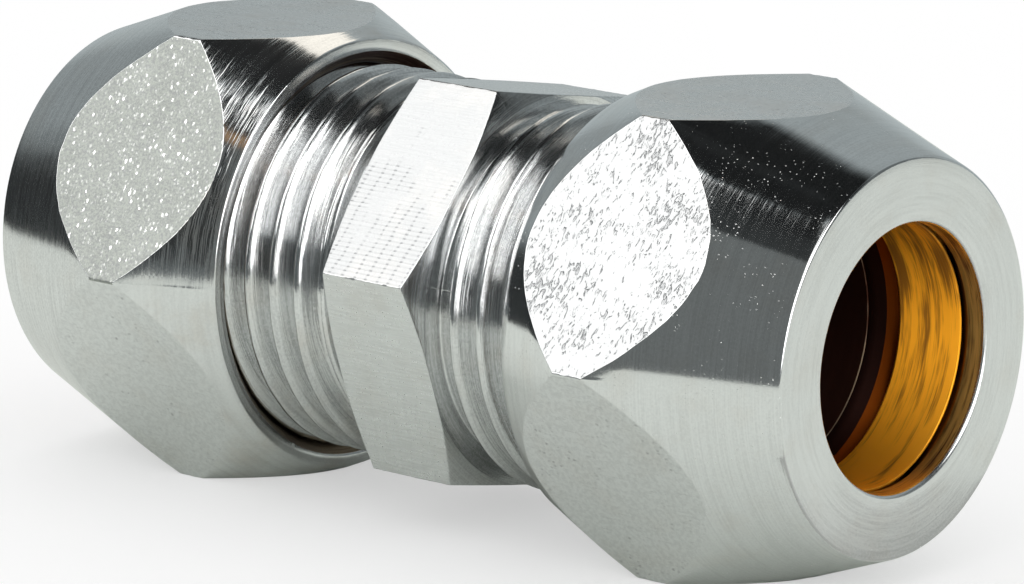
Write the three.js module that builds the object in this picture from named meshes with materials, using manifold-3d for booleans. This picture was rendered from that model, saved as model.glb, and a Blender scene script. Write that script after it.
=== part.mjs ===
// Straight compression coupling for 12 mm tube: a body with two male threads, and a nut and an olive at each end.
// Millimetres. +X is the tube axis, from the rear nut to the front nut; +Z is up, and both nuts rest on a flat.
// The origin is the middle of the whole fitting.

import * as THREE from 'three';
import { mergeVertices } from 'three/addons/utils/BufferGeometryUtils.js';
import Module from 'manifold-3d';

const wasm = await Module();
wasm.setup();

// Tube and thread
const TUBE_BORE_RADIUS = 6.05;
const STOP_RADIUS = 5.0;
const STOP_HALF_WIDTH = 1.5;
const PITCH = 1.5;
const THREAD_RADIUS = 9.0;
const ROOT_RADIUS = 8.08;
const CREST_WIDTH = PITCH / 8;
const FLANK_SLOPE = Math.tan(Math.PI / 6);
const THREAD_CLEARANCE = 0.15;
const THREAD_STEPS = 24;
const SLEEVE_WALL = 1;

// Body
const BODY_HALF_LENGTH = 18.5;
const HEX_FLATS = 18;
const HEX_HALF_WIDTH = 2.75;
const HEX_TURN = -10.3;
const HEX_CHAMFER_RADIUS = 9.1;
const HEX_CHAMFER_SLOPE = 2.8;
const NECK_RADIUS = 8.0;
const NECK_END = 3.6;
const RUN_OUT = 0.5;
const MOUTH_CHAMFER = 0.6;
const CONE_START = 16.2;
const CONE_SLOPE = 0.65;
const CREST_PLACE = 0.525;

// Nut, measured along its axis from its outer face
const NUT_FLATS = 21;
const NUT_LENGTH = 14.6;
const FACE_RADIUS = 9.0;
const FACE_BEVEL = 0.15;
const FRONT_CONE_SLOPE = 0.365;
const BACK_CONE_SLOPE = 0.43;
const CORNER_RADIUS = 12.05;
const RIM_RADIUS = 10.15;
const RIM_MOUTH_RADIUS = 9.55;
const LAND_LENGTH = 1.0;
const TAP_START = 3.5;
const TAP_TAPER = 0.6;
const MINOR_RADIUS = 8.38;
const CHAMBER_RADIUS = 8.1;

// Olive, measured along its axis from the nut's outer face
const OLIVE_START = 1.4;
const OLIVE_LENGTH = 3.55;
const OLIVE_RADIUS = 7.3;
const OLIVE_FRONT_LIP = 0.1;
const OLIVE_BACK_LIP = 0.35;
const OLIVE_BACK_CHAMFER = 0.25;

// Where the nuts' outer faces are, from the middle of the fitting
const NUT_FACE = 23.1;
const REAR_NUT_SLACK = 0.8;
const BODY_PLACE = REAR_NUT_SLACK / 2;

const ROUND_STEPS = 48;
const OVERRUN = 1;
const EASE = 0.05;

const CHROME = { color: 0xc9ccce, metalness: 1.0, roughness: 0.16 };
const BODY_CHROME = { color: 0xc4c6c8, metalness: 1.0, roughness: 0.24 };
const BRASS = { color: 0xc9983f, metalness: 1.0, roughness: 0.32 };

// A closed geometry as a manifold solid. The zero-area triangles on a lathe's axis are left out.
function solid(geometry) {
  geometry.deleteAttribute('normal');
  geometry.deleteAttribute('uv');
  const merged = mergeVertices(geometry);
  const corners = merged.index.array;
  const kept = [];
  for (let i = 0; i < corners.length; i += 3) {
    const [a, b, c] = corners.slice(i, i + 3);
    if (a !== b && b !== c && c !== a) kept.push(a, b, c);
  }
  return new wasm.Manifold(new wasm.Mesh({
    numProp: 3,
    vertProperties: merged.attributes.position.array,
    triVerts: new Uint32Array(kept),
  }));
}

// A named mesh from a solid.
function part(name, shape, look) {
  const mesh = shape.getMesh();
  const geometry = new THREE.BufferGeometry();
  geometry.setAttribute('position', new THREE.BufferAttribute(mesh.vertProperties, 3));
  geometry.setIndex(new THREE.BufferAttribute(mesh.triVerts, 1));
  geometry.computeVertexNormals();
  const result = new THREE.Mesh(geometry, new THREE.MeshStandardMaterial(look));
  result.name = name;
  return result;
}

// A solid of revolution about X from (x, radius) points in order of growing x, closed on the axis.
function turned(points, steps = ROUND_STEPS) {
  const profile = points.map(([x, radius]) => new THREE.Vector2(radius, x));
  profile.unshift(new THREE.Vector2(0, points[0][0]));
  profile.push(new THREE.Vector2(0, points[points.length - 1][0]));
  const geometry = new THREE.LatheGeometry(profile, steps);
  geometry.rotateZ(-Math.PI / 2);
  return solid(geometry);
}

// A hexagonal prism along X from x = start to x = end, with its flats facing 30 + turn degrees and so on.
function hexPrism(flats, start, end, turn) {
  const outline = new THREE.Shape();
  const cornerRadius = flats / Math.sqrt(3);
  for (let corner = 0; corner < 6; corner += 1) {
    const angle = THREE.MathUtils.degToRad(60 * corner + turn);
    const point = [cornerRadius * Math.cos(angle), cornerRadius * Math.sin(angle)];
    if (corner === 0) outline.moveTo(...point);
    else outline.lineTo(...point);
  }
  outline.closePath();
  const geometry = new THREE.ExtrudeGeometry(outline, { depth: end - start, bevelEnabled: false });
  // The outline's X, Y and depth become Y, Z and X.
  geometry.applyMatrix4(new THREE.Matrix4().makeBasis(
    new THREE.Vector3(0, 1, 0),
    new THREE.Vector3(0, 0, 1),
    new THREE.Vector3(1, 0, 0),
  ));
  geometry.translate(start, 0, 0);
  return solid(geometry);
}

// A right-hand threaded sleeve that covers x = start to x = end. A crest passes the +Y side at x = crestPlace.
// A comb of teeth is swept round the axis in two half turns, moving half a pitch along X in each.
function threadedSleeve(crestPlace, start, end, rootRadius, crestRadius, crestWidth) {
  const halfCrest = crestWidth / 2;
  const halfRoot = halfCrest + (crestRadius - rootRadius) * FLANK_SLOPE;
  const firstCrest = crestPlace + PITCH * (Math.floor((start - crestPlace) / PITCH) - 1);
  const teeth = Math.ceil((end - firstCrest) / PITCH) + 1;
  const lastCrest = firstCrest + PITCH * (teeth - 1);
  const comb = new THREE.Shape();
  comb.moveTo(firstCrest - halfRoot, rootRadius - SLEEVE_WALL);
  for (let tooth = 0; tooth < teeth; tooth += 1) {
    const crest = firstCrest + PITCH * tooth;
    comb.lineTo(crest - halfRoot, rootRadius);
    comb.lineTo(crest - halfCrest, crestRadius);
    comb.lineTo(crest + halfCrest, crestRadius);
    comb.lineTo(crest + halfRoot, rootRadius);
  }
  comb.lineTo(lastCrest + halfRoot, rootRadius - SLEEVE_WALL);
  const halves = [0, 0.5].map((firstTurn) => {
    const geometry = new THREE.ExtrudeGeometry(
      comb,
      { depth: 0.5, steps: THREAD_STEPS / 2, bevelEnabled: false },
    );
    const place = geometry.attributes.position;
    for (let i = 0; i < place.count; i += 1) {
      const step = Math.round((firstTurn + place.getZ(i)) * THREAD_STEPS);
      const angle = 2 * Math.PI * (step % THREAD_STEPS) / THREAD_STEPS;
      const radius = place.getY(i);
      const along = place.getX(i) + PITCH * step / THREAD_STEPS;
      place.setXYZ(i, along, radius * Math.cos(angle), radius * Math.sin(angle));
    }
    return solid(geometry);
  });
  return halves[0].add(halves[1]);
}

// The male thread of one end of the body, at +X, run out into the neck and chamfered at the mouth.
function bodyEnd() {
  const core = turned([[-OVERRUN, NECK_RADIUS], [BODY_HALF_LENGTH, NECK_RADIUS]], THREAD_STEPS);
  const envelope = turned([
    [-OVERRUN, NECK_RADIUS],
    [NECK_END, NECK_RADIUS],
    [NECK_END + RUN_OUT, THREAD_RADIUS + EASE],
    [BODY_HALF_LENGTH - MOUTH_CHAMFER, THREAD_RADIUS + EASE],
    [BODY_HALF_LENGTH, ROOT_RADIUS + EASE],
  ], THREAD_STEPS);
  const thread = threadedSleeve(
    CREST_PLACE,
    NECK_END - OVERRUN,
    BODY_HALF_LENGTH,
    ROOT_RADIUS,
    THREAD_RADIUS,
    CREST_WIDTH,
  );
  return core.add(thread.intersect(envelope));
}

function couplingBody() {
  const cornerRadius = HEX_FLATS / Math.sqrt(3) + EASE;
  const chamferFoot = HEX_HALF_WIDTH - (cornerRadius - HEX_CHAMFER_RADIUS) / HEX_CHAMFER_SLOPE;
  const hexEnvelope = turned([
    [-HEX_HALF_WIDTH, HEX_CHAMFER_RADIUS],
    [-chamferFoot, cornerRadius],
    [chamferFoot, cornerRadius],
    [HEX_HALF_WIDTH, HEX_CHAMFER_RADIUS],
  ]);
  const hex = hexPrism(HEX_FLATS, -HEX_HALF_WIDTH - OVERRUN, HEX_HALF_WIDTH + OVERRUN, HEX_TURN)
    .intersect(hexEnvelope);
  const end = bodyEnd();
  const mouth = BODY_HALF_LENGTH + OVERRUN;
  const mouthRadius = TUBE_BORE_RADIUS + (mouth - CONE_START) * CONE_SLOPE;
  const bore = turned([
    [-mouth, mouthRadius],
    [-CONE_START, TUBE_BORE_RADIUS],
    [-STOP_HALF_WIDTH, TUBE_BORE_RADIUS],
    [-STOP_HALF_WIDTH, STOP_RADIUS],
    [STOP_HALF_WIDTH, STOP_RADIUS],
    [STOP_HALF_WIDTH, TUBE_BORE_RADIUS],
    [CONE_START, TUBE_BORE_RADIUS],
    [mouth, mouthRadius],
  ]);
  return hex.add(end).add(end.rotate([0, 0, 180])).subtract(bore).translate([BODY_PLACE, 0, 0]);
}

// A nut with its outer face at x = 0 and its threaded rim at x = -NUT_LENGTH.
// crestPlace is where the body's crest passes the +Y side, in the nut's own frame.
function nut(crestPlace) {
  const rim = -NUT_LENGTH;
  const frontBulge = (CORNER_RADIUS - FACE_RADIUS) / FRONT_CONE_SLOPE;
  const backBulge = (CORNER_RADIUS - RIM_RADIUS) / BACK_CONE_SLOPE;
  const envelope = turned([
    [rim, RIM_RADIUS],
    [rim + backBulge, CORNER_RADIUS],
    [-frontBulge, CORNER_RADIUS],
    [-FACE_BEVEL, FACE_RADIUS + FACE_BEVEL * FRONT_CONE_SLOPE],
    [0, FACE_RADIUS - FACE_BEVEL],
  ]);
  const blank = hexPrism(NUT_FLATS, rim - OVERRUN, OVERRUN, 0).intersect(envelope);
  const coneLength = CHAMBER_RADIUS - TUBE_BORE_RADIUS;
  const mouthLength = RIM_MOUTH_RADIUS - CHAMBER_RADIUS;
  const bore = turned([
    [rim - OVERRUN, RIM_MOUTH_RADIUS + OVERRUN],
    [rim + mouthLength, CHAMBER_RADIUS],
    [-LAND_LENGTH - coneLength, CHAMBER_RADIUS],
    [-LAND_LENGTH, TUBE_BORE_RADIUS],
    [OVERRUN, TUBE_BORE_RADIUS],
  ]);
  const tapRadius = THREAD_RADIUS + THREAD_CLEARANCE;
  const tapEnvelope = turned([
    [rim - OVERRUN, tapRadius + OVERRUN],
    [-TAP_START - TAP_TAPER, tapRadius + OVERRUN],
    [-TAP_START - TAP_TAPER, tapRadius],
    [-TAP_START, MINOR_RADIUS],
  ], THREAD_STEPS);
  const tap = threadedSleeve(
    crestPlace,
    rim - OVERRUN,
    -TAP_START,
    MINOR_RADIUS,
    tapRadius,
    CREST_WIDTH + THREAD_CLEARANCE,
  ).intersect(tapEnvelope);
  return blank.subtract(bore.add(tap));
}

// The front nut's body crest place moves with the face; the rear nut is the same turned half round about Z.
function frontNut() {
  return nut(BODY_PLACE + CREST_PLACE - NUT_FACE).translate([NUT_FACE, 0, 0]);
}

function rearNut() {
  return nut(-BODY_PLACE + CREST_PLACE - NUT_FACE).translate([NUT_FACE, 0, 0]).rotate([0, 0, 180]);
}

// An olive at the front end: a ring that tapers towards the nut's seat and towards the body's cone.
function olive() {
  const front = NUT_FACE - OLIVE_START;
  const back = front - OLIVE_LENGTH;
  const frontTaper = OLIVE_RADIUS - TUBE_BORE_RADIUS - OLIVE_FRONT_LIP;
  const backTaper = (OLIVE_RADIUS - TUBE_BORE_RADIUS - OLIVE_BACK_LIP) / CONE_SLOPE;
  const ring = turned([
    [back, TUBE_BORE_RADIUS + OLIVE_BACK_LIP],
    [back + backTaper, OLIVE_RADIUS],
    [front - frontTaper, OLIVE_RADIUS],
    [front, TUBE_BORE_RADIUS + OLIVE_FRONT_LIP],
  ]);
  const hole = turned([
    [back - OVERRUN, TUBE_BORE_RADIUS + OLIVE_BACK_CHAMFER],
    [back, TUBE_BORE_RADIUS + OLIVE_BACK_CHAMFER],
    [back + OLIVE_BACK_CHAMFER, TUBE_BORE_RADIUS],
    [front + OVERRUN, TUBE_BORE_RADIUS],
  ]);
  return ring.subtract(hole);
}

const fitting = new THREE.Group();
fitting.add(part('coupling_body', couplingBody(), BODY_CHROME));
fitting.add(part('front_nut', frontNut(), CHROME));
fitting.add(part('rear_nut', rearNut(), CHROME));
fitting.add(part('front_olive', olive(), BRASS));
fitting.add(part('rear_olive', olive().rotate([0, 0, 180]), BRASS));

export default fitting;
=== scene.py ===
"""Looks of a straight compression coupling for 12 mm tube: chrome-plated body and nuts, brass olives.

Lengths in this script are millimetres until a mesh is made, and angles round the tube axis are counted
from +Y towards +Z. The tube axis is X.
"""

import math
import random

import bmesh
import bpy
import numpy as np
from mathutils import Matrix, Vector


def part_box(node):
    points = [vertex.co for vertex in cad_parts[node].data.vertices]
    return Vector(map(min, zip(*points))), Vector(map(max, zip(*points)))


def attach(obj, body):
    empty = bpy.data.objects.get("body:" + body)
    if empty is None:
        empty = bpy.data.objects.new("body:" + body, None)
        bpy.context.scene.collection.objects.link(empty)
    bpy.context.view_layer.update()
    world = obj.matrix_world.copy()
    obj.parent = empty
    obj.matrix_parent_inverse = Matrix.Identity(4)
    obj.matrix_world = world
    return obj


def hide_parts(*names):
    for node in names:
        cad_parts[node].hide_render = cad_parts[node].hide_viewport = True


MM = 0.001

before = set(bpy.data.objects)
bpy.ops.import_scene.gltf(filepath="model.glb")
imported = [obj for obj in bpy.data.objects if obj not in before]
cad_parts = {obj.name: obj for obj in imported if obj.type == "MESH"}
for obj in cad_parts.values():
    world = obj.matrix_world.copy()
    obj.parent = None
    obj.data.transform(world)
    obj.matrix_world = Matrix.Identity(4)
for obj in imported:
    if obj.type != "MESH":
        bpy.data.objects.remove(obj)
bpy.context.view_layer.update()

# ---------------------------------------------------------------- sizes

PITCH = 1.5
THREAD_RADIUS = 9.0
ROOT_RADIUS = 8.08
CREST_HALF = PITCH / 16
FLANK_SLOPE = math.tan(math.radians(30))
TUBE_RADIUS = 6.05

NUT_APOTHEM = 10.5
NUT_LENGTH = 14.6
NUT_CORNER_ROUND = 0.15
FACE_RADIUS = 9.0
FRONT_CONE_SLOPE = 0.365
BACK_CONE_SLOPE = 0.43
RIM_RADIUS = 10.15
RIM_MOUTH_RADIUS = 9.55
LAND_LENGTH = 1.0
TAP_START = 3.5
TAP_TAPER = 0.6
MINOR_RADIUS = 8.38
TAP_RADIUS = 9.15
CHAMBER_RADIUS = 8.1
NUT_EDGE_ROUND = 0.12

BODY_HALF = 18.5
STOP_HALF = 1.5
STOP_RADIUS = 5.0
HEX_APOTHEM = 9.0
HEX_HALF_WIDTH = 2.75
HEX_TURN = -10.3
HEX_CORNER_ROUND = 0.06
HEX_CHAMFER_RADIUS = 9.1
HEX_CHAMFER_SLOPE = 2.8
NECK_RADIUS = 8.0
NECK_END = 3.6
RUN_OUT = 0.5
MOUTH_CHAMFER = 0.6
MOUTH_END_RADIUS = 8.05
CONE_START = 16.2
CONE_SLOPE = 0.65
# the body's mouth cones are painted near black as painted shade from CONE_START out to MOUTH_SHADE
MOUTH_SHADE = 16.9
# width of a lighter ring just inside CONE_START, a painted highlight along the edge where the mouth cone
# meets the bore
HIGHLIGHT_RING = 0.07
CREST_PLACE = 0.525

OLIVE_START = 1.4
OLIVE_LENGTH = 3.55
OLIVE_RADIUS = 7.3
OLIVE_FRONT_LIP = 0.1
OLIVE_BACK_LIP = 0.35
OLIVE_BACK_CHAMFER = 0.25

FLAT_COLUMNS = 28
CORNER_SIDE = 2.5
ARC_STEPS = 4
BURR_FADE = 0.2
STRAIGHT_ANGLE = 0.02

nut_low, nut_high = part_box("front_nut")
rear_low, rear_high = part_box("rear_nut")
body_low, body_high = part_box("coupling_body")
FRONT_FACE = nut_high.x / MM
REAR_FACE = rear_low.x / MM
BODY_PLACE = (body_low.x + body_high.x) / 2 / MM
FLOOR = nut_low.z


# ---------------------------------------------------------------- mesh making

def smooth_noise(seed, waves, size):
    """A smooth periodic function of an angle, as a sum of a few seeded sines."""
    draw = random.Random(seed)
    terms = [(n, draw.uniform(0.4, 1.0) * size / math.sqrt(len(waves)), draw.uniform(0, 2 * math.pi))
             for n in waves]
    return lambda angle: sum(a * np.sin(n * angle + phase) for n, a, phase in terms)


def ragged(seed, size, rounds):
    """A rough seeded function of x in millimetres and of the angle. rounds is how many waves go round."""
    draw = random.Random(seed)
    terms = [(draw.uniform(1.5, 14), draw.randint(-rounds, rounds), draw.uniform(0, 2 * math.pi))
             for _ in range(12)]
    return lambda x, angle: sum(size / 3 * np.sin(along * x + n * angle + phase) for along, n, phase in terms)


def nicked(seed, size):
    """Small nicks along a thread's crest, as a function of turns from its start."""
    draw = random.Random(seed)
    terms = [(draw.uniform(20, 260), draw.uniform(0, 2 * math.pi)) for _ in range(9)]
    return lambda turns: sum(size / 3 * np.sin(n * turns + phase) for n, phase in terms)


def hexagon(apothem, corner_round, turn, seed):
    """Angles of the columns round the axis, and at each the hexagon's radius, its flat's number, and
    1 on a corner or 0 away from it. A narrow column lies each side of a corner, CORNER_SIDE times as far
    from its middle as its rounding reaches, so that the corner's smooth shading stays off the flats."""
    centre = (apothem - corner_round) / math.cos(math.radians(30))
    tangent = math.atan2(corner_round / 2, centre + corner_round * math.cos(math.radians(30)))
    step = (math.pi / 3 - 2 * tangent) / FLAT_COLUMNS
    corner_columns = [tangent * (k / 2 - 1) for k in range(4)]
    flat_columns = [tangent, tangent * CORNER_SIDE]
    flat_columns += [tangent + step * k for k in range(1, FLAT_COLUMNS)]
    flat_columns += [math.pi / 3 - tangent * CORNER_SIDE]
    offsets = np.array(corner_columns + flat_columns)
    angles = np.concatenate([math.radians(60 * k + turn) + offsets for k in range(6)])
    flats = np.repeat(np.arange(6), len(offsets))
    away = np.tile(np.where(offsets > math.pi / 6, math.pi / 3 - offsets, offsets), 6)
    away = np.abs(away)
    sideways = (centre * np.sin(away)).clip(-corner_round, corner_round)
    rounded = centre * np.cos(away) + np.sqrt(corner_round ** 2 - sideways ** 2)
    flat = apothem / np.cos(math.pi / 6 - away)
    radius = np.where(away < tangent, rounded, flat)
    worn = smooth_noise(seed, (17, 29, 43), 0.012)(angles)
    corners = np.where(away < tangent * 0.9, 1.0, np.where(away < tangent * 1.1, 0.5, 0.0))
    return angles, radius + worn * corners, flats, corners


class Skin:
    """Collects grids of points, all on the same columns, and welds them into one closed mesh."""

    def __init__(self, angles, tags, corners=None):
        self.angles = angles
        self.tags = tags
        self.corners = corners
        self.points = []
        self.quads = []
        self.kinds = []
        self.count = 0

    def grid(self, along, radius, kinds, shift=0):
        """along and radius are (rows, columns); kinds gives each strip's tag, or a tag for each column.
        The last column joins the first one, shift rows further on."""
        rows, columns = along.shape
        points = np.stack([along, radius * np.cos(self.angles), radius * np.sin(self.angles)], axis=-1)
        number = np.arange(rows * columns).reshape(rows, columns) + self.count
        first = np.full((rows, 1), -1)
        first[:rows - shift, 0] = number[shift:, 0]
        wide = np.hstack([number, first])
        quads = np.stack([wide[:-1, :-1], wide[:-1, 1:], wide[1:, 1:], wide[1:, :-1]], axis=-1)
        kinds = np.array([np.broadcast_to(kind, columns) for kind in kinds])
        keep = (quads >= 0).all(axis=-1)
        self.points.append(points.reshape(-1, 3))
        self.quads.append(quads[keep])
        self.kinds.append(kinds[keep])
        self.count += rows * columns

    def profile(self, stations, burr=None):
        """A turned strip through stations of (x, radius, rounding, rows to the next, tag to the next).
        A rounded edge takes the lower of the two tags beside it. burr(x, angles) roughens the columns near
        the hexagon's corners."""
        columns = len(self.angles)
        corners = [np.stack([np.broadcast_to(x, columns), np.broadcast_to(r, columns)])
                   for x, r, *_ in stations]
        rows, kinds = [corners[0]], []
        for k in range(1, len(stations)):
            here, tag, count = corners[k], stations[k - 1][4], stations[k - 1][3]
            last = k == len(stations) - 1
            rounding = 0 if last else stations[k][2]
            enter = here
            if rounding:
                back, ahead = corners[k - 1] - here, corners[k + 1] - here
                long_back, long_ahead = np.hypot(*back), np.hypot(*ahead)
                back, ahead = back / long_back, ahead / long_ahead
                opening = np.arccos((back * ahead).sum(axis=0).clip(-0.99999, 0.99999))
                reach = np.minimum(rounding / np.tan(opening / 2), 0.45 * np.minimum(long_back, long_ahead))
                enter, leave = here + back * reach, here + ahead * reach
            start = rows[-1]
            for n in range(1, count + 1):
                rows.append(start + (enter - start) * (n / count))
                kinds.append(tag)
            if rounding:
                for n in range(1, ARC_STEPS + 1):
                    t = n / ARC_STEPS
                    rows.append(enter * (1 - t) ** 2 + here * 2 * t * (1 - t) + leave * t ** 2)
                    kinds.append(np.minimum(tag, stations[k][4]))
        along = np.array([row[0] for row in rows])
        radius = np.array([row[1] for row in rows])
        if burr:
            radius = radius + burr(along, self.angles) * self.corners
        self.grid(along, radius, kinds)

    def thread(self, low, high, crest_at, section, limit, tag, nicks=lambda turns: 0 * turns):
        """A right-hand thread between x = low and x = high. section is (place, radius) over one pitch."""
        first = math.floor((low - crest_at) / PITCH) - 2
        last = math.ceil((high - crest_at) / PITCH) + 2
        places = np.concatenate([np.array([p for p, _ in section]) + n for n in range(first, last)])
        heights = np.tile([r for _, r in section], last - first)
        part_turn = self.angles[None, :] / (2 * math.pi)
        along = crest_at + PITCH * (places[:, None] + part_turn)
        along = along.clip(low, high)
        turns = np.repeat(np.arange(first, last), len(section))[:, None] + part_turn
        worn = heights[:, None] + (heights[:, None] > max(heights) - 0.05) * nicks(turns)
        radius = limit(along, worn)
        self.grid(along, radius, [tag] * (len(places) - 1), shift=len(section))

    def build(self, name, materials, mirrored=False):
        """The welded, closed mesh as an object. mirrored turns it half round about Z."""
        points = np.concatenate(self.points)
        if mirrored:
            points = points * (-1, -1, 1)
        _, keep, weld = np.unique(points.round(4), axis=0, return_index=True, return_inverse=True)
        quads = weld.reshape(-1)[np.concatenate(self.quads)]
        kinds = np.concatenate(self.kinds)
        faces, slots = [], []
        names = list(materials)
        for quad, kind in zip(quads.tolist(), kinds.tolist()):
            corners = [c for n, c in enumerate(quad) if c != quad[n - 1]]
            if len(corners) > 2 and len(set(corners)) == len(corners):
                faces.append(corners)
                slots.append(names.index(self.tags[kind]))
        mesh = bpy.data.meshes.new(name)
        mesh.from_pydata((points[keep] * MM).tolist(), [], faces)
        for tag in names:
            mesh.materials.append(materials[tag])
        mesh.polygons.foreach_set("material_index", slots)
        work = bmesh.new()
        work.from_mesh(mesh)
        bmesh.ops.recalc_face_normals(work, faces=work.faces)
        work.to_mesh(mesh)
        work.free()
        mesh.polygons.foreach_set("use_smooth", [True] * len(mesh.polygons))
        piece = bpy.data.objects.new(name, mesh)
        bpy.context.scene.collection.objects.link(piece)
        smoothing = piece.modifiers.new("even_normals", "WEIGHTED_NORMAL")
        smoothing.weight = 100
        return piece


def tooth(crest_radius, root_radius, crest_half, round_crest, round_root):
    """(place, radius) points of one pitch of thread, place 0 being the crest's middle, in pitches."""
    half_root = crest_half + (crest_radius - root_radius) * FLANK_SLOPE
    outline = [
        (0.0, crest_radius),
        (crest_half - round_crest, crest_radius),
        (crest_half + round_crest * 0.4, crest_radius - round_crest * 0.35),
    ]
    for share in (0.3, 0.55, 0.8):
        outline.append((crest_half + (half_root - crest_half) * share,
                        crest_radius + (root_radius - crest_radius) * share))
    outline.append((half_root - round_root * 0.25, root_radius + round_root * 0.75))
    outline.append((half_root + round_root * 0.1, root_radius + round_root * 0.2))
    outline.append((half_root + round_root * 0.6, root_radius))
    left = [(-x, r) for x, r in reversed(outline[1:])]
    return [(x / PITCH, r) for x, r in left + outline]


# ---------------------------------------------------------------- materials

class Shader:
    """A short way to write a node tree."""

    def __init__(self, tree):
        self.tree = tree
        self.tree.nodes.clear()

    def put(self, kind, inputs=None, **settings):
        node = self.tree.nodes.new(kind)
        for key, value in settings.items():
            setattr(node, key, value)
        for key, value in (inputs or {}).items():
            if isinstance(value, bpy.types.NodeSocket):
                self.tree.links.new(value, node.inputs[key])
            else:
                node.inputs[key].default_value = value
        return node

    def math(self, operation, *values, clamp=False):
        node = self.put("ShaderNodeMath", dict(enumerate(values)), operation=operation, use_clamp=clamp)
        return node.outputs[0]

    def vector(self, x, y, z):
        return self.put("ShaderNodeCombineXYZ", {0: x, 1: y, 2: z}).outputs[0]

    def split(self, vector):
        return self.put("ShaderNodeSeparateXYZ", {0: vector}).outputs

    def noise(self, vector, detail=2.0, roughness=0.5, distortion=0.0):
        node = self.put("ShaderNodeTexNoise", {
            "Vector": vector, "Scale": 1.0, "Detail": detail, "Roughness": roughness,
            "Distortion": distortion,
        })
        return node.outputs["Fac"]

    def scaled(self, vector, x, y=None, z=None):
        factors = (x, x if y is None else y, x if z is None else z)
        return self.put("ShaderNodeVectorMath", {0: vector, 1: factors}, operation="MULTIPLY").outputs[0]

    def fade(self, value, low, high, start=0.0, end=1.0):
        """start below low, end above high, and a smooth step between them."""
        node = self.put("ShaderNodeMapRange", {
            "Value": value, "From Min": low, "From Max": high, "To Min": start, "To Max": end,
        }, interpolation_type="SMOOTHSTEP")
        return node.outputs[0]

    def add(self, *values):
        """The sum of any number of values, or of (value, factor) pairs."""
        total = None
        for value in values:
            value, factor = value if isinstance(value, tuple) else (value, 1.0)
            total = self.math("MULTIPLY_ADD", value, factor, 0.0 if total is None else total)
        return total

    def mix(self, share, first, second):
        node = self.put("ShaderNodeMix", data_type="RGBA")
        for key, value in ((0, share), (6, first), (7, second)):
            if isinstance(value, bpy.types.NodeSocket):
                self.tree.links.new(value, node.inputs[key])
            else:
                node.inputs[key].default_value = value
        return node.outputs[2]

    def bump(self, height):
        """Relief whose height is in millimetres."""
        return self.put("ShaderNodeBump", {"Height": height, "Distance": MM, "Strength": 1.0}).outputs[0]

    def dot(self, vector, direction):
        node = self.put("ShaderNodeVectorMath", {0: vector, 1: direction}, operation="DOT_PRODUCT")
        return node.outputs["Value"]

    def shaken(self, place, per_mm, size):
        """place, displaced by up to about half of size millimetres, to make outlines ragged."""
        finer = self.scaled(place, per_mm)
        shake = self.put("ShaderNodeTexNoise", {"Vector": finer, "Scale": 1.0, "Detail": 1.0})
        shift = self.scaled(shake.outputs["Color"], size)
        return self.put("ShaderNodeVectorMath", {0: place, 1: shift}, operation="ADD").outputs[0]

    def specks(self, vector, size, share, even=0.02):
        """Scattered specks: a share of the cells of a unit grid hold one. Those of a share wider than even
        are fainter or brighter by chance, up to 1."""
        node = self.put("ShaderNodeTexVoronoi", {"Vector": vector, "Scale": 1.0, "Randomness": 1.0})
        chosen = self.fade(self.split(node.outputs["Color"])[0], 1 - share, 1 - share + even)
        inside = self.fade(node.outputs["Distance"], size * 0.5, size, 1.0, 0.0)
        return self.math("MULTIPLY", chosen, inside)

    def turned(self, place, along_scale, around_scale):
        """Texture coordinates for tool marks: fast along the profile and slow round the axis."""
        x, y, z = self.split(place)
        squares = self.math("ADD", self.math("MULTIPLY", y, y), self.math("MULTIPLY", z, z))
        radius = self.math("SQRT", squares)
        along = self.math("SUBTRACT", self.math("ABSOLUTE", x), self.math("MULTIPLY", radius, 1.3))
        return self.vector(
            self.math("MULTIPLY", along, along_scale),
            self.math("MULTIPLY", self.math("DIVIDE", y, radius), around_scale),
            self.math("MULTIPLY", self.math("DIVIDE", z, radius), around_scale),
        )

    def across_flat(self, place, apothem, turn):
        """Distance from the middle line of a hexagon's flat, in millimetres."""
        _, y, z = self.split(place)
        angle = self.math("ARCTAN2", z, y)
        sixth = self.math("WRAP", self.math("SUBTRACT", angle, math.radians(turn)), math.pi / 3, 0.0)
        return self.math("MULTIPLY", self.math("TANGENT", self.math("SUBTRACT", sixth, math.pi / 6)), apothem)


def metal(name, build, anisotropy=0.0):
    """A metal material. build(shader, place) gives its node-made sockets, place being in millimetres."""
    material = bpy.data.materials.new(name)
    material.use_nodes = True
    shader = Shader(material.node_tree)
    place = shader.scaled(shader.put("ShaderNodeTexCoord").outputs["Object"], 1 / MM)
    sockets = {"Metallic": 1.0, "Anisotropic": anisotropy, "Anisotropic Rotation": 0.25}
    if anisotropy:
        sockets["Tangent"] = shader.put("ShaderNodeTangent", direction_type="RADIAL", axis="X").outputs[0]
    sockets.update(build(shader, place))
    surface = shader.put("ShaderNodeBsdfPrincipled", sockets)
    shader.put("ShaderNodeOutputMaterial", {"Surface": surface.outputs[0]})
    return material


CHROME = (0.74, 0.75, 0.755, 1.0)
STAINED = (0.62, 0.58, 0.54, 1.0)
MATT_CHROME = (0.43, 0.435, 0.44, 1.0)
DULL = (0.26, 0.265, 0.27, 1.0)
BLASTED = (0.37, 0.39, 0.36, 1.0)
SPARK = (0.95, 0.95, 0.94, 1.0)
BRASS = (0.98, 0.43, 0.025, 1.0)
BROWN_BRASS = (0.27, 0.115, 0.015, 1.0)
RED_BRASS = (0.13, 0.030, 0.003, 1.0)
YELLOW_BRASS = (0.70, 0.42, 0.12, 1.0)
BRONZE = (0.34, 0.27, 0.20, 1.0)
DARK_BRASS = (0.07, 0.03, 0.022, 1.0)
# painted shade: near-black brass for the part of the mouth cone that lies in shade
PAINTED_SHADE_BLACK = (0.012, 0.005, 0.004, 1.0)


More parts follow.
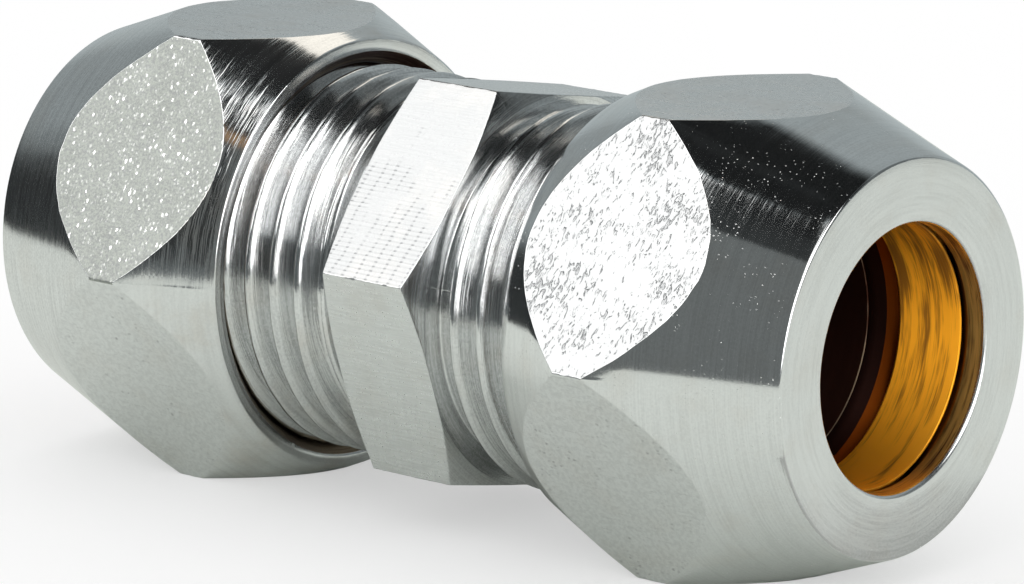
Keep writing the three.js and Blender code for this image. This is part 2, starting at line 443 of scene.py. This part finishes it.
def chrome_tint(shader, place, share, chrome=CHROME):
    """Chrome with a faint warm stain here and there."""
    cloud = shader.noise(shader.scaled(place, 0.35), detail=4.0, roughness=0.6)
    return shader.mix(shader.fade(cloud, 0.45, 0.75, 0.0, share), chrome, STAINED)


def turned_chrome(name, per_mm, fine, coarse, rough, speck_share=0.0, stain=0.3, streaks=2.0,
                  anisotropy=0.0, mottle=0.10):
    """Lathe-turned and plated. fine and coarse are the heights of the tool marks in millimetres."""
    def build(shader, place):
        marks = shader.noise(shader.turned(place, per_mm, streaks), detail=3.0, roughness=0.65)
        waves = shader.noise(shader.turned(place, per_mm * 0.18, 1.0), detail=2.0)
        grain = shader.noise(shader.scaled(place, 9.0), detail=3.0)
        patch = shader.fade(shader.noise(shader.scaled(place, 0.5), detail=2.0), 0.42, 0.62)
        dust = shader.specks(shader.scaled(shader.shaken(place, 14.0, 0.09), 6.0), 0.20, speck_share, 0.2)
        dust = shader.math("MULTIPLY", dust, patch)
        height = shader.add((marks, fine), (waves, coarse), (grain, 0.0006), (dust, 0.006))
        roughness = shader.add((marks, rough * 0.9), (grain, rough * 0.4), (dust, 0.35), (1.0, rough * 0.35))
        shade = shader.fade(shader.add((marks, 0.6), (grain, 0.4)), 0.34, 0.62, mottle * 2, 0.0)
        tint = shader.mix(shade, chrome_tint(shader, place, stain), DULL)
        return {"Base Color": shader.mix(dust, tint, SPARK), "Roughness": roughness,
                "Normal": shader.bump(height)}
    return metal(name, build, anisotropy)


def satin_chrome(name, rough, grain_height, grain_per_mm=7.0, scratch_height=0.004):
    """A flat with an even grain, a few fine scratches and scattered pits."""
    def build(shader, place):
        grain = shader.noise(shader.scaled(place, grain_per_mm), detail=4.0, roughness=0.65)
        broad = shader.noise(shader.scaled(place, 0.7), detail=3.0)
        scratch = shader.noise(shader.scaled(place, 0.6, 9.0, 9.0), detail=3.0)
        scratch = shader.fade(scratch, 0.62, 0.70)
        pits = shader.specks(shader.scaled(place, 1.1), 0.12, 0.25)
        crowd = shader.fade(shader.noise(shader.scaled(place, 0.33), detail=2.0), 0.52, 0.66)
        small = shader.specks(shader.scaled(shader.shaken(place, 9.0, 0.15), 3.0, 4.2, 4.2), 0.34, 0.8, 0.6)
        pits = shader.math("MAXIMUM", pits, shader.math("MULTIPLY", small, crowd))
        height = shader.add((grain, grain_height), (scratch, -scratch_height), (pits, -0.010), (broad, 0.01))
        roughness = shader.add((broad, rough * 0.7), (grain, rough * 0.4), (1.0, rough * 0.45))
        shade = shader.add((pits, 0.45), (scratch, 0.10), (shader.fade(grain, 0.36, 0.62, 0.20, 0.0), 1.0))
        tint = shader.mix(shade, chrome_tint(shader, place, 0.25), DULL)
        return {"Base Color": tint, "Roughness": roughness, "Normal": shader.bump(height)}
    return metal(name, build)


def dented_chrome(name):
    """A bright flat covered in short slanting dents, closer together in some places."""
    def build(shader, place):
        slant = math.radians(8)
        lean, rise = math.sin(slant), math.cos(slant)
        along = shader.dot(place, (lean, rise * 0.5, rise * 0.866))
        beside = shader.dot(place, (rise, -lean * 0.5, -lean * 0.866))
        lengthwise = shader.math("MULTIPLY", along, 2.6)
        crosswise = shader.math("MULTIPLY", beside, 5.2)
        slanting = shader.vector(lengthwise, crosswise, 0.0)
        stroke = shader.noise(slanting, detail=2.0, roughness=0.5, distortion=1.1)
        crowd = shader.noise(shader.scaled(place, 0.45), detail=2.0)
        dent = shader.fade(shader.add(stroke, (crowd, 0.50)), 0.80, 1.02)
        peel = shader.noise(shader.scaled(place, 2.4), detail=3.0, roughness=0.6)
        height = shader.add((dent, -0.018), (peel, 0.022))
        tint = shader.mix(shader.math("MULTIPLY", dent, 0.6), MATT_CHROME, DULL)
        roughness = shader.add((peel, 0.14), (dent, 0.10), (1.0, 0.08))
        return {"Base Color": tint, "Roughness": roughness, "Normal": shader.bump(height)}
    return metal(name, build)


def sparkled_chrome(name):
    """A dull blasted flat with bright specks, a few of them drawn out into short scratches."""
    def build(shader, place):
        grain = shader.noise(shader.scaled(place, 8.0), detail=4.0, roughness=0.7)
        broad = shader.noise(shader.scaled(place, 0.6), detail=3.0)
        shaken = shader.shaken(place, 9.0, 0.16)
        faint = shader.specks(shader.scaled(shaken, 6.5, 5.0, 4.4), 0.42, 0.7, 0.8)
        bright = shader.specks(shader.scaled(shaken, 3.4, 3.0, 2.2), 0.30, 0.6, 0.5)
        dashes = shader.specks(shader.scaled(shaken, 2.6, 1.2, 0.5), 0.18, 0.10)
        strong = shader.math("MAXIMUM", bright, dashes)
        spark = shader.math("MAXIMUM", shader.math("MULTIPLY", faint, 0.35), strong)
        height = shader.add((grain, 0.012), (spark, 0.006))
        shade = shader.mix(shader.fade(grain, 0.36, 0.62, 0.25, 1.0), DULL, BLASTED)
        tint = shader.mix(spark, shade, SPARK)
        roughness = shader.add((spark, -0.30), (broad, 0.12), (1.0, 0.40))
        return {"Base Color": tint, "Roughness": roughness, "Normal": shader.bump(height)}
    return metal(name, build)


def milled_chrome(name, chrome, row_depth, row_shade, tick_shade):
    """A flat of the centre hexagon: fine cutter lines along the axis, crossed by rows of short ticks."""
    def build(shader, place):
        x, _, _ = shader.split(place)
        across = shader.across_flat(place, HEX_APOTHEM, HEX_TURN)
        wander = shader.noise(shader.scaled(place, 0.8), detail=2.0)
        row = shader.math("SINE", shader.add((across, 2 * math.pi / 0.23), (wander, 2.5)))
        tick = shader.math("SINE", shader.add((x, 2 * math.pi / 0.68), (across, 1.3), (wander, 4.0)))
        row = shader.fade(row, 0.1, 1.0)
        tick = shader.fade(tick, 0.60, 0.90)
        clear = shader.noise(shader.scaled(place, 0.6), detail=2.0)
        patch = shader.fade(shader.add(clear, (across, 0.06)), 0.42, 0.62)
        row = shader.math("MULTIPLY", row, patch)
        mark = shader.math("MULTIPLY", row, tick)
        cutter = shader.vector(shader.math("MULTIPLY", x, 0.5), shader.math("MULTIPLY", across, 9.0), 0.0)
        lines = shader.noise(cutter, detail=3.0, roughness=0.6)
        grain = shader.noise(shader.scaled(place, 8.0), detail=3.0)
        height = shader.add((row, -row_depth), (mark, -row_depth), (lines, 0.008), (grain, 0.004))
        columns = shader.math("MULTIPLY", tick, patch)
        shade = shader.add((row, row_shade), (mark, tick_shade), (columns, row_shade * 0.6))
        roughness = shader.add((lines, 0.15), (grain, 0.15), (1.0, 0.10))
        shade = shader.add(shade, (shader.fade(lines, 0.36, 0.60, 0.13, 0.0), 1.0))
        tint = shader.mix(shade, chrome_tint(shader, place, 0.25, chrome), DULL)
        return {"Base Color": tint, "Roughness": roughness, "Normal": shader.bump(height)}
    return metal(name, build)


def turned_brass(name, light, dark, rough, fine, metallic=1.0):
    """Bare turned brass, browned in random patches, with painted shade that darkens it towards the top, and
    brushed lines round the axis.
    """
    def build(shader, place):
        marks = shader.noise(shader.turned(place, 12.0, 1.2), detail=4.0, roughness=0.7)
        patches = shader.noise(shader.turned(place, 1.8, 1.3), detail=3.0, roughness=0.6)
        _, _, z = shader.split(place)
        # painted shade: the z term moves the mix towards the dark colour higher up, so the brass is darker
        # towards the top
        fade = shader.fade(shader.add((patches, 0.65), (marks, 0.35), (z, -0.010)), 0.38, 0.55)
        roughness = shader.add((marks, rough * 0.6), (1.0, rough * 0.7))
        return {"Base Color": shader.mix(fade, dark, light), "Roughness": roughness, "Metallic": metallic,
                "Normal": shader.bump(shader.add((marks, fine)))}
    return metal(name, build, anisotropy=0.6)


polished_cone = turned_chrome("polished_cone", 9.0, 0.0022, 0.005, 0.09, speck_share=0.5)
lined_cone = turned_chrome("lined_cone", 10.0, 0.005, 0.010, 0.14, mottle=0.22)
scratched_shoulder = turned_chrome("scratched_shoulder", 7.0, 0.040, 0.030, 0.14, stain=0.6, streaks=1.6)
faced_end = turned_chrome("faced_end", 5.0, 0.004, 0.004, 0.22, mottle=0.12)
threaded_chrome = turned_chrome("threaded_chrome", 11.0, 0.014, 0.005, 0.15, stain=0.5, streaks=1.6,
                                anisotropy=0.7, mottle=0.25)
satin_flat = satin_chrome("satin_flat", 0.28, 0.006)
grained_flat = satin_chrome("grained_flat", 0.22, 0.008, grain_per_mm=5.0)
dented_flat = dented_chrome("dented_flat")
sparkled_flat = sparkled_chrome("sparkled_flat")
milled_flat = milled_chrome("milled_flat", MATT_CHROME, 0.003, 0.16, 0.55)
lined_flat = milled_chrome("lined_flat", CHROME, 0.001, 0.04, 0.04)
bare_brass = turned_brass("bare_brass", BRASS, BROWN_BRASS, 0.36, 0.016, metallic=0.65)
ringed_brass = turned_brass("ringed_brass", YELLOW_BRASS, DARK_BRASS, 0.30, 0.020, metallic=0.9)
red_brass = turned_brass("red_brass", RED_BRASS, RED_BRASS, 0.45, 0.006)
mouth_bronze = turned_brass("mouth_bronze", BRONZE, DARK_BRASS, 0.30, 0.006)
bore_brass = turned_brass("bore_brass", BROWN_BRASS, DARK_BRASS, 0.40, 0.006)
dark_bore = turned_brass("dark_bore", DARK_BRASS, DARK_BRASS, 0.45, 0.004)
painted_shade_cone = turned_brass("painted_shade_cone", PAINTED_SHADE_BLACK, PAINTED_SHADE_BLACK, 0.45, 0.004)
# painted highlight: lighter bronze for the bright line along the edge where the mouth cone meets the bore
highlight_ring_brass = turned_brass("highlight_ring_brass", BRONZE, DARK_BRASS, 0.35, 0.006, metallic=0.6)


# ---------------------------------------------------------------- pieces

def nut(name, face, crest_at, mirrored, worn, outer_cone, inner_cone, flat_materials):
    """A compression nut whose outer face is at x = face, before it is turned to the rear."""
    angles, across, flats, corners = hexagon(NUT_APOTHEM, NUT_CORNER_ROUND, 0, worn)
    tags = ["cone", "shoulder", "face", "thread", "bore", "land"] + [f"flat_{n}" for n in range(6)]
    cone, shoulder, end, threads, bore, land = range(6)
    flat_tag = 6 + flats
    corner = np.round(angles / (math.pi / 3)) * (math.pi / 3)
    settled = np.where(np.abs(angles - corner) < STRAIGHT_ANGLE, corner, angles)
    edge = smooth_noise(worn + 1, (13, 31, 47, 71), 0.05)(settled)
    cone_foot = face - (across - FACE_RADIUS) / FRONT_CONE_SLOPE + edge
    back_foot = face - NUT_LENGTH + (across - RIM_RADIUS) / BACK_CONE_SLOPE - edge * 0.4
    rim = face - NUT_LENGTH
    bumps = ragged(worn, 0.008, 4)

    def burr(along, around):
        """The front cone is turned smooth: the burr fades out within BURR_FADE of its foot."""
        return bumps(along, around) * ((cone_foot + BURR_FADE - along) / BURR_FADE).clip(0, 1)

    skin = Skin(angles, tags, corners)
    skin.profile([
        (face - LAND_LENGTH, TUBE_RADIUS, 0, 3, land),
        (face, TUBE_RADIUS, 0.22, 6, end),
        (face, FACE_RADIUS, 0.16, 8, cone),
        (cone_foot, across, NUT_EDGE_ROUND, 30, flat_tag),
        (back_foot, across, NUT_EDGE_ROUND, 5, shoulder),
        (rim, RIM_RADIUS, 0.15, 2, end),
        (rim, RIM_MOUTH_RADIUS, 0, 1, end),
    ], burr)

    def limit(along, radius):
        mouth = RIM_MOUTH_RADIUS - (along - rim)
        taper = MINOR_RADIUS + (face - TAP_START - along) * (TAP_RADIUS - MINOR_RADIUS) / TAP_TAPER
        return np.minimum(np.maximum(radius, mouth), np.maximum(taper, MINOR_RADIUS))

    groove = tooth(TAP_RADIUS, MINOR_RADIUS, CREST_HALF + 0.075, 0.02, 0.02)
    skin.thread(rim, face - TAP_START, crest_at, groove, limit, threads)
    skin.profile([
        (face - TAP_START, MINOR_RADIUS, 0, 1, bore),
        (face - TAP_START + 0.1, CHAMBER_RADIUS, 0, 1, bore),
        (face - LAND_LENGTH - (CHAMBER_RADIUS - TUBE_RADIUS), CHAMBER_RADIUS, 0, 4, bore),
        (face - LAND_LENGTH, TUBE_RADIUS, 0, 1, bore),
    ])
    materials = {"cone": outer_cone, "shoulder": inner_cone, "face": faced_end, "thread": mouth_bronze,
                 "bore": bore_brass, "land": ringed_brass}
    materials.update({f"flat_{n}": material for n, material in enumerate(flat_materials)})
    piece = skin.build(name, materials, mirrored)
    return piece


def coupling_body():
    """The body: threads with their run-outs, centre hexagon, tube sockets, stop ring and olive cones."""
    angles, across, flats, corners = hexagon(HEX_APOTHEM, HEX_CORNER_ROUND, HEX_TURN, 5)
    tags = ["thread", "side", "bore", "end", "mouth", "ring", "shade"] + [f"flat_{n}" for n in range(6)]
    flat_tag = 7 + flats
    skin = Skin(angles, tags, corners)
    threads, side, bore, end, mouth, ring, shade = range(7)
    mid, half = BODY_PLACE, BODY_HALF
    chamfer_start = np.minimum(HEX_CHAMFER_RADIUS, across - 0.03)
    chamfer_foot = HEX_HALF_WIDTH - (across - chamfer_start) / HEX_CHAMFER_SLOPE
    male = tooth(THREAD_RADIUS, ROOT_RADIUS, CREST_HALF, 0.05, 0.12)

    def limit(along, radius):
        away = np.abs(along - mid)
        run_out = NECK_RADIUS + (away - NECK_END) * (THREAD_RADIUS - NECK_RADIUS) / RUN_OUT
        mouth = MOUTH_END_RADIUS + (half - away) * (THREAD_RADIUS - MOUTH_END_RADIUS) / MOUTH_CHAMFER
        highest = np.minimum(np.maximum(run_out, NECK_RADIUS), np.maximum(mouth, MOUTH_END_RADIUS))
        return np.minimum(radius, highest)

    rear_crest = mid - CREST_PLACE - PITCH / 2
    skin.thread(mid + NECK_END, mid + half, mid + CREST_PLACE, male, limit, threads, nicked(7, 0.012))
    skin.thread(mid - half, mid - NECK_END, rear_crest, male, limit, threads, nicked(8, 0.012))
    skin.profile([
        (mid + NECK_END, NECK_RADIUS, 0, 2, side),
        (mid + HEX_HALF_WIDTH, NECK_RADIUS, 0.15, 4, side),
        (mid + HEX_HALF_WIDTH, chamfer_start, 0.04, 3, side),
        (mid + chamfer_foot, across, 0.06, 64, flat_tag),
        (mid - chamfer_foot, across, 0.06, 3, side),
        (mid - HEX_HALF_WIDTH, chamfer_start, 0.04, 4, side),
        (mid - HEX_HALF_WIDTH, NECK_RADIUS, 0.15, 2, side),
        (mid - NECK_END, NECK_RADIUS, 0, 1, side),
    ], ragged(31, 0.007, 7))
    mouth_radius = TUBE_RADIUS + (half - CONE_START) * CONE_SLOPE
    shade_radius = TUBE_RADIUS + (MOUTH_SHADE - CONE_START) * CONE_SLOPE
    # painted shade: from MOUTH_SHADE in to CONE_START the mouth cone is near black
    skin.profile([
        (mid - half, MOUTH_END_RADIUS, 0, 1, end),
        (mid - half, mouth_radius, 0.08, 2, mouth),
        (mid - MOUTH_SHADE, shade_radius, 0, 2, shade),
        (mid - CONE_START, TUBE_RADIUS, 0, 1, ring),
        # painted highlight: the lighter ring strip just inside CONE_START
        (mid - CONE_START + HIGHLIGHT_RING, TUBE_RADIUS, 0, 8, bore),
        (mid - STOP_HALF, TUBE_RADIUS, 0, 1, bore),
        (mid - STOP_HALF, STOP_RADIUS, 0.08, 2, bore),
        (mid + STOP_HALF, STOP_RADIUS, 0.08, 1, bore),
        (mid + STOP_HALF, TUBE_RADIUS, 0, 8, bore),
        (mid + CONE_START - HIGHLIGHT_RING, TUBE_RADIUS, 0, 1, ring),
        (mid + CONE_START, TUBE_RADIUS, 0, 2, shade),
        (mid + MOUTH_SHADE, shade_radius, 0, 2, mouth),
        (mid + half, mouth_radius, 0.08, 1, end),
        (mid + half, MOUTH_END_RADIUS, 0, 1, end),
    ])
    materials = {"thread": threaded_chrome, "side": lined_cone, "bore": dark_bore, "end": faced_end,
                 "mouth": red_brass, "ring": highlight_ring_brass, "shade": painted_shade_cone}
    materials.update({f"flat_{n}": lined_flat if n % 2 else milled_flat for n in range(6)})
    piece = skin.build("turned_body", materials)
    return piece


def olive(name, face, mirrored):
    """A compression ring behind the nut whose outer face is at x = face, before it is turned."""
    angles = np.linspace(0, 2 * math.pi, 160, endpoint=False)
    skin = Skin(angles, ["brass"])
    front = face - OLIVE_START
    back = front - OLIVE_LENGTH
    front_taper = OLIVE_RADIUS - TUBE_RADIUS - OLIVE_FRONT_LIP
    back_taper = (OLIVE_RADIUS - TUBE_RADIUS - OLIVE_BACK_LIP) / CONE_SLOPE
    skin.profile([
        (back + 1.0, TUBE_RADIUS, 0, 4, 0),
        (front, TUBE_RADIUS, 0.05, 1, 0),
        (front, TUBE_RADIUS + OLIVE_FRONT_LIP, 0.03, 3, 0),
        (front - front_taper, OLIVE_RADIUS, 0.2, 2, 0),
        (back + back_taper, OLIVE_RADIUS, 0.2, 3, 0),
        (back, TUBE_RADIUS + OLIVE_BACK_LIP, 0.03, 1, 0),
        (back, TUBE_RADIUS + OLIVE_BACK_CHAMFER, 0.03, 2, 0),
        (back + OLIVE_BACK_CHAMFER, TUBE_RADIUS, 0.05, 2, 0),
        (back + 1.0, TUBE_RADIUS, 0, 1, 0),
    ])
    piece = skin.build(name, {"brass": bare_brass}, mirrored)
    return piece


front_nut = nut(
    "front_union_nut", FRONT_FACE, BODY_PLACE + CREST_PLACE, False, 11, polished_cone, polished_cone,
    [dented_flat, satin_flat, dented_flat, grained_flat, satin_flat, grained_flat])
rear_nut = nut(
    "rear_union_nut", -REAR_FACE, -BODY_PLACE + CREST_PLACE, True, 23, lined_cone, scratched_shoulder,
    [sparkled_flat, satin_flat, sparkled_flat, grained_flat, satin_flat, grained_flat])
body = coupling_body()
front_olive = olive("front_ring_olive", FRONT_FACE, False)
rear_olive = olive("rear_ring_olive", -REAR_FACE, True)

for piece, node, rides in (
    (front_nut, "front_nut", "front_cap"),
    (rear_nut, "rear_nut", "rear_cap"),
    (body, "coupling_body", "body"),
    (front_olive, "front_olive", "front_ring"),
    (rear_olive, "rear_olive", "rear_ring"),
):
    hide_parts(node)
    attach(piece, rides)


# ---------------------------------------------------------------- stage

def floor_paper():
    """Nearly white paper, which glows a little to the camera only so that it comes out white."""
    material = bpy.data.materials.new("floor_paper")
    material.use_nodes = True
    shader = Shader(material.node_tree)
    seen = shader.put("ShaderNodeLightPath").outputs["Is Camera Ray"]
    tint = shader.mix(seen, (0.83, 0.867, 0.807, 1), (0.5, 0.5, 0.5, 1))
    paper = shader.put("ShaderNodeBsdfDiffuse", {"Color": tint})
    strength = shader.math("MULTIPLY", seen, 0.5)
    glow = shader.put("ShaderNodeEmission", {"Color": (1, 1, 1, 1), "Strength": strength})
    both = shader.put("ShaderNodeAddShader", {0: paper.outputs[0], 1: glow.outputs[0]})
    shader.put("ShaderNodeOutputMaterial", {"Surface": both.outputs[0]})
    return material


def studio_floor():
    """A small white table top, and the same paper beyond it, which the metal doesn't mirror."""
    paper = floor_paper()
    sides = 96
    middle = (20 * MM, 45 * MM)
    level = FLOOR - 0.02 * MM
    for name, inner, outer in (("table_top", 0.0, 0.125), ("floor_beyond", 0.125, 0.9)):
        work = bmesh.new()
        rings = []
        for radius in (inner, outer):
            ring = []
            if radius:
                for a in np.linspace(0, 2 * math.pi, sides, endpoint=False):
                    x, y = middle[0] + radius * math.cos(a), middle[1] + radius * math.sin(a)
                    ring.append(work.verts.new((x, y, level)))
            rings.append(ring)
        if rings[0]:
            for k in range(sides):
                work.faces.new((rings[0][k - 1], rings[0][k], rings[1][k], rings[1][k - 1]))
        else:
            work.faces.new(rings[1])
        bmesh.ops.recalc_face_normals(work, faces=work.faces)
        mesh = bpy.data.meshes.new(name)
        work.to_mesh(mesh)
        work.free()
        mesh.materials.append(paper)
        floor = bpy.data.objects.new(name, mesh)
        bpy.context.scene.collection.objects.link(floor)
        floor.visible_glossy = not inner


def mirrored_card(name, corners, colour):
    """A card that only the metal mirrors."""
    mesh = bpy.data.meshes.new(name)
    mesh.from_pydata([tuple(c * MM for c in corner) for corner in corners], [], [(0, 1, 2, 3)])
    material = bpy.data.materials.new(name)
    material.use_nodes = True
    shader = Shader(material.node_tree)
    glow = shader.put("ShaderNodeEmission", {"Color": (*colour, 1), "Strength": 1.0})
    shader.put("ShaderNodeOutputMaterial", {"Surface": glow.outputs[0]})
    mesh.materials.append(material)
    card = bpy.data.objects.new(name, mesh)
    bpy.context.scene.collection.objects.link(card)
    card.visible_camera = card.visible_diffuse = card.visible_shadow = False


def studio_cards():
    """A tall grey card beside the front nut, a copper and a warm white one over the rear nut, and three on
    the floor that deepen the shade at the foot of the front face."""
    low = FLOOR / MM
    near = 23.2
    side = 16
    for step, (reach, grey) in enumerate(((34.5, 0.70), (31.0, 0.60), (28.0, 0.49))):
        level = low + 0.05 * (step + 1)
        corners = [(near, -side, level), (reach, -side, level), (reach, side, level), (near, side, level)]
        mirrored_card(f"floor_shade_{step + 1}", corners, (grey * 0.97, grey, grey * 0.94))
    for name, left, right, (y_low, z_low), (y_high, z_high), colour in (
        ("grey_card", -2, 75, (-80, low), (-80, 114), (0.168, 0.182, 0.18)),
        ("copper_card", -14, 6, (-52, 69), (-49, 77), (0.42, 0.26, 0.14)),
        ("warm_card", -50, -8, (42, 50), (33, 88), (1.35, 1.28, 1.15)),
    ):
        corners = [(left, y_low, z_low), (right, y_low, z_low)]
        corners += [(right, y_high, z_high), (left, y_high, z_high)]
        mirrored_card(name, corners, colour)


def bore_lamp():
    """A narrow beam from the camera's right that lights the brass inside the front nut. The metal
    doesn't mirror the lamp itself."""
    distance = 150
    lamp = bpy.data.objects.new("bore_lamp", bpy.data.lights.new("bore_lamp", "SPOT"))
    bpy.context.scene.collection.objects.link(lamp)
    lamp.data.energy = 3.2
    lamp.data.color = (1.0, 0.93, 0.82)
    lamp.data.shadow_soft_size = 4 * MM
    lamp.data.spot_size = math.radians(3.6)
    lamp.data.spot_blend = 1.0
    lamp.visible_glossy = False
    target = Vector((FRONT_FACE - 2.5, TUBE_RADIUS, -0.8))
    towards = Vector((0.70, -0.71, 0.06)).normalized()
    place = Matrix.Translation((target + towards * distance) * MM)
    lamp.matrix_world = place @ towards.to_track_quat("Z", "Y").to_matrix().to_4x4()


def studio_world():
    """Soft white light all round for the floor. The metal mirrors dim walls with black parts, and four
    bright windows. A patch is its bearing, half its width, its lowest and highest elevation, the softness
    of its edge, all in degrees, and its strength. It covers the patches before it."""
    world = bpy.data.worlds.new("studio")
    bpy.context.scene.world = world
    world.use_nodes = True
    shader = Shader(world.node_tree)
    place = shader.put("ShaderNodeTexCoord").outputs["Generated"]
    height = shader.math("MULTIPLY", shader.math("ARCSINE", shader.split(place)[2]), 180 / math.pi)

    def bearing(centre):
        turned = shader.put("ShaderNodeVectorRotate", {"Vector": place, "Angle": -math.radians(centre)},
                            rotation_type="Z_AXIS").outputs[0]
        x, y, _ = shader.split(turned)
        return shader.math("MULTIPLY", shader.math("ARCTAN2", y, x), 180 / math.pi)

    total = 0.012
    for centre, half_width, low, high, edge, strength in (
        (0, 200, -95, 57, 2.5, 0.17),
        (-86, 30, -3, 68, 6, 0.04),
        (112, 53, -95, 62, 6, 0.42),
        (112, 53, -95, 12, 9, 0.52),
        (168, 28, 25, 95, 5, 0.02),
        (165, 17, 6, 24, 4, 0.36),
        (180, 15, -12, 9, 4, 0.035),
        (27, 12, 12, 50, 3, 0.02),
        (-134, 30, 17, 76, 3, 2.4),
        (-171, 9, 30, 76, 3, 1.9),
        (-50, 12, 45, 78, 4, 1.8),
        (-14, 29, -3, 50, 2.5, 3.4),
    ):
        off = shader.math("ABSOLUTE", bearing(centre))
        side = shader.fade(off, half_width - edge, half_width + edge, 1.0, 0.0)
        above = shader.fade(height, low - edge, low + edge)
        below = shader.fade(height, high - edge, high + edge, 1.0, 0.0)
        share = shader.math("MULTIPLY", side, shader.math("MULTIPLY", above, below))
        change = shader.math("SUBTRACT", strength, total)
        total = shader.math("MULTIPLY_ADD", share, change, total)
    tint = shader.mix(shader.fade(total, 0.6, 1.5), (0.90, 1.0, 1.012, 1), (1.0, 1.0, 0.985, 1))
    mirrored = shader.put("ShaderNodeBackground", {"Color": tint, "Strength": total})
    white = shader.put("ShaderNodeBackground", {"Color": (1, 1, 1, 1), "Strength": 1.0})
    glossy = shader.put("ShaderNodeLightPath").outputs["Is Glossy Ray"]
    both = shader.put("ShaderNodeMixShader", {0: glossy, 1: white.outputs[0], 2: mirrored.outputs[0]})
    shader.put("ShaderNodeOutputWorld", {"Surface": both.outputs[0]})


def studio_camera():
    """The camera looks at the fitting from the front nut's side, a little above it."""
    azimuth, elevation, roll = (math.radians(a) for a in (39.66, 13.39, 0.25))
    distance = 295.2
    aim = Vector((0.5, 0.26, -0.53))
    out = math.cos(elevation)
    back = Vector((math.sin(azimuth) * out, -math.cos(azimuth) * out, math.sin(elevation)))
    level = Vector((math.cos(azimuth), math.sin(azimuth), 0))
    upright = back.cross(level)
    right = level * math.cos(roll) + upright * math.sin(roll)
    up = upright * math.cos(roll) - level * math.sin(roll)
    camera = bpy.data.objects.new("camera", bpy.data.cameras.new("camera"))
    bpy.context.scene.collection.objects.link(camera)
    camera.data.sensor_width = 36
    camera.data.lens = 225.5
    camera.data.clip_start, camera.data.clip_end = 0.01, 10
    turn = Matrix((right, up, back)).transposed().to_4x4()
    camera.matrix_world = Matrix.Translation((aim + back * distance) * MM) @ turn
    bpy.context.scene.camera = camera


studio_floor()
studio_cards()
bore_lamp()
studio_world()
studio_camera()
bpy.context.scene.view_settings.view_transform = "Standard"
